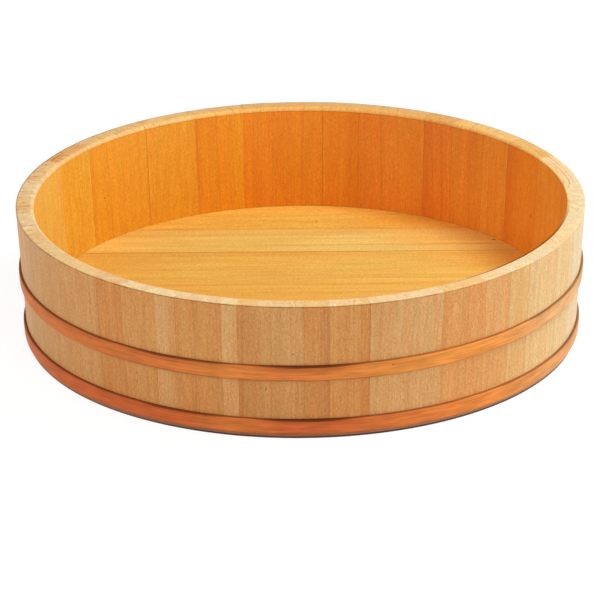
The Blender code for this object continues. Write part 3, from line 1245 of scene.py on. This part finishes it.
def make_stave(number, look, finish):
    """A stave, finer than its solid and a little higher or lower and farther in or out than others."""
    node = f"stave_{number:02d}"
    *tints, cut = look
    first, last = stave_span(node)
    columns = stave_columns(number, first, last)
    lift = rng.uniform(-RIM_UNEVEN, RIM_UNEVEN)
    push = rng.uniform(-WALL_UNEVEN, WALL_UNEVEN)
    lean_first, lean_last = LEANING_TONES.get(number, PLAIN_TONE)
    vertices = []
    finishes = []
    for angle, line, section in columns:
        lean = lean_first + (lean_last - lean_first) * (angle - first) / (last - first)
        for point in section:
            raised = lift * point.height / HEIGHT
            vertices.append(around(angle, point.radius + push, point.height + raised))
            finishes.append(finish_at(angle, line, point, lean))

    piece = show(node + "_wood", vertices, loft(len(columns), len(section), closed=False))
    mesh = piece.data
    write_grain(mesh, columns, cut)
    for side, tint in zip(("outside", "inside", "rim"), tints):
        write_even(mesh, "tint_" + side, "FLOAT_COLOR", TINTS[tint])
    write_even(mesh, "strokes", "FLOAT", RIM_STROKES.get(number, FAINT_STROKES))
    write_numbers(mesh, finishes)
    mesh.materials.append(finish)
    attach(piece, BODY)
    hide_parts(node)


# Hoops

def glow_at(angle, shaded_to, lit_from):
    """From 0 on the left of a hoop, in painted shade, to 1 on its right, in painted light, by degrees from
    the front, with a painted highlight added.
    """
    degrees = math.degrees(math.remainder(angle - from_front(0), math.tau))
    if abs(degrees) > 90:
        degrees = math.copysign(180, degrees) - degrees
    return smooth_step(degrees, shaded_to, lit_from) + near(angle, *BRIGHT_SPOT)


def hoop_section(low, high):
    """A hoop's section as a closed loop of points: how far out from the wall, and height."""
    half = (high - low) / 2
    section = [(0.0, high), (0.0, low)]
    for step in range(1, HOOP_FACE_STEPS):
        turn = math.pi * (step / HOOP_FACE_STEPS - 0.5)
        out = HOOP_THICKNESS * abs(math.cos(turn)) ** (2 / HOOP_SQUARENESS)
        off = half * math.copysign(abs(math.sin(turn)) ** (2 / HOOP_SQUARENESS), turn)
        section.append((out, low + half + off))
    return section


def make_hoop(node, finish, shaded_to, lit_from, paleness, lean):
    """A hoop, painted in shade on the left and in light on the right, that may lean up to the right."""
    low, high = (corner.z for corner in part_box(node))
    section = hoop_section(low, high)
    vertices = []
    finishes = []
    for step in range(HOOP_STEPS):
        angle = math.tau * step / HOOP_STEPS
        way = Vector((math.cos(angle), math.sin(angle), low * HOOPS_APART)) * HOOP_WAVES
        swell = HOOP_UNEVEN * (1 + noise.noise(way))
        rise = HOOP_UNEVEN * noise.noise(way + RISE_APART) + lean * math.cos(angle)
        for out, z in section:
            wall = outer_radius(z + rise) + HOOP_CLEARANCE + swell
            vertices.append(around(angle, wall + out, z + rise))
            # Painted shade along the upper edge, painted light toward the right, and a painted reflection
            # at the right end
            finishes.append({
                "upper_shade": UPPER_SHADE + summed(angle, UPPER_SHADE_STRETCHES),
                "glow": glow_at(angle, shaded_to, lit_from),
                "pale": near(angle, *PALE_END, paleness),
                "up": (z - low) / (high - low),
            })
    piece = show(node + "_copper", vertices, loft(HOOP_STEPS, len(section), closed=True))
    write_numbers(piece.data, finishes)
    piece.data.materials.append(finish)
    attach(piece, BODY)
    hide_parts(node)


# Base

def dress(node, finish):
    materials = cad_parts[node].data.materials
    materials.clear()
    materials.append(finish)


def dress_base():
    """Give each board its own grain, and the dowels between them their bamboo."""
    for index, (tint, cut, joint_dark) in enumerate(BOARDS, start=1):
        name = f"base_board_{index}"
        low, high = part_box(f"base_board_{index}")
        across, through, spacing = CUTS[cut]
        offset = far_off()
        pith = Vector((across, 0, through)) * MM * rng.uniform(*BOARD_PITH_SPREAD)
        pith += Vector(((low.y + high.y) / 2, 0, high.z)) + Vector((offset.x, 0, offset.z))
        dress(name, board_wood(name + "_finish", tint, pith, spacing * MM, offset, high.y, joint_dark))
    bamboo_finish = bamboo()
    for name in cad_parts:
        if name.startswith("base_dowel"):
            dress(name, bamboo_finish)


# Studio

def seen_rays(tree):
    """1 for rays that show the background itself, straight, mirrored or through glass."""
    path = add(tree, "LightPath").outputs
    seen = maths(tree, "MAXIMUM", path["Is Camera Ray"], path["Is Glossy Ray"])
    return maths(tree, "MAXIMUM", seen, path["Is Transmission Ray"])


def make_world():
    """A white background that lights the tub only faintly."""
    world = bpy.data.worlds.new("studio")
    world.use_nodes = True
    tree = world.node_tree
    strength = linear(tree, seen_rays(tree), 1 - AMBIENT, AMBIENT)
    background = tree.nodes["Background"]
    background.inputs["Color"].default_value = WHITE
    feed(tree, strength, background.inputs["Strength"])
    bpy.context.scene.world = world


def make_floor():
    """A white floor that keeps the tub's shadow but otherwise shows as the background."""
    mesh = bpy.data.meshes.new("studio_floor")
    turns = [math.tau * step / FLOOR_CORNERS for step in range(FLOOR_CORNERS)]
    mesh.from_pydata([around(turn, FLOOR_RADIUS, 0) for turn in turns], [], [tuple(range(FLOOR_CORNERS))])
    floor = put("studio_floor", mesh)
    made, tree, shader = new_material("studio_floor_white")
    tree.nodes.remove(shader)
    plain = add(tree, "BsdfDiffuse", FLOOR_GREY)
    faint = add(tree, "BsdfDiffuse", FLOOR_SHADOW)
    glow = add(tree, "Emission", WHITE, FLOOR_GLOW)
    shown = add(tree, "AddShader", faint.outputs[0], glow.outputs[0])
    either = add(tree, "MixShader", seen_rays(tree), plain.outputs[0], shown.outputs[0])
    feed(tree, either.outputs[0], tree.nodes["Material Output"].inputs["Surface"])
    mesh.materials.append(made)


def make_lamps():
    """Round lamps that the camera does not see, aimed at the middle of the tub."""
    aim = Vector((0, 0, HEIGHT / 2))
    for name, (azimuth, elevation, distance, size, watts) in LAMPS.items():
        data = bpy.data.lights.new(name, "AREA")
        data.shape = "DISK"
        data.size = size
        data.energy = watts
        lamp = put(name, data)
        rise = math.radians(elevation)
        way = around(from_front(azimuth), math.cos(rise), math.sin(rise))
        lamp.location = aim + way * distance
        lamp.rotation_euler = (-way).to_track_quat("-Z", "Y").to_euler()
        lamp.visible_camera = False


def make_camera():
    data = bpy.data.cameras.new("camera")
    data.lens = CAMERA_LENS_MM
    data.sensor_width = SENSOR_MM
    data.clip_end = CAMERA_REACH
    camera = put("camera", data)
    turn = Matrix.Rotation(math.pi / 2 - CAMERA_PITCH, 4, "X") @ Matrix.Rotation(CAMERA_ROLL, 4, "Z")
    camera.matrix_world = Matrix.Translation(CAMERA_PLACE) @ turn
    bpy.context.scene.camera = camera


bpy.context.scene.view_settings.view_transform = "Standard"
make_camera()
make_world()
make_floor()
make_lamps()
wood_grain()
wall_finish = stave_wood()
for number, look in enumerate(STAVES, start=1):
    make_stave(number, look, wall_finish)
for node, (shaded_tone, lit_tone, *settings) in HOOPS.items():
    make_hoop(node, copper(node.replace("hoop", "copper_finish"), shaded_tone, lit_tone), *settings)
dress_base()
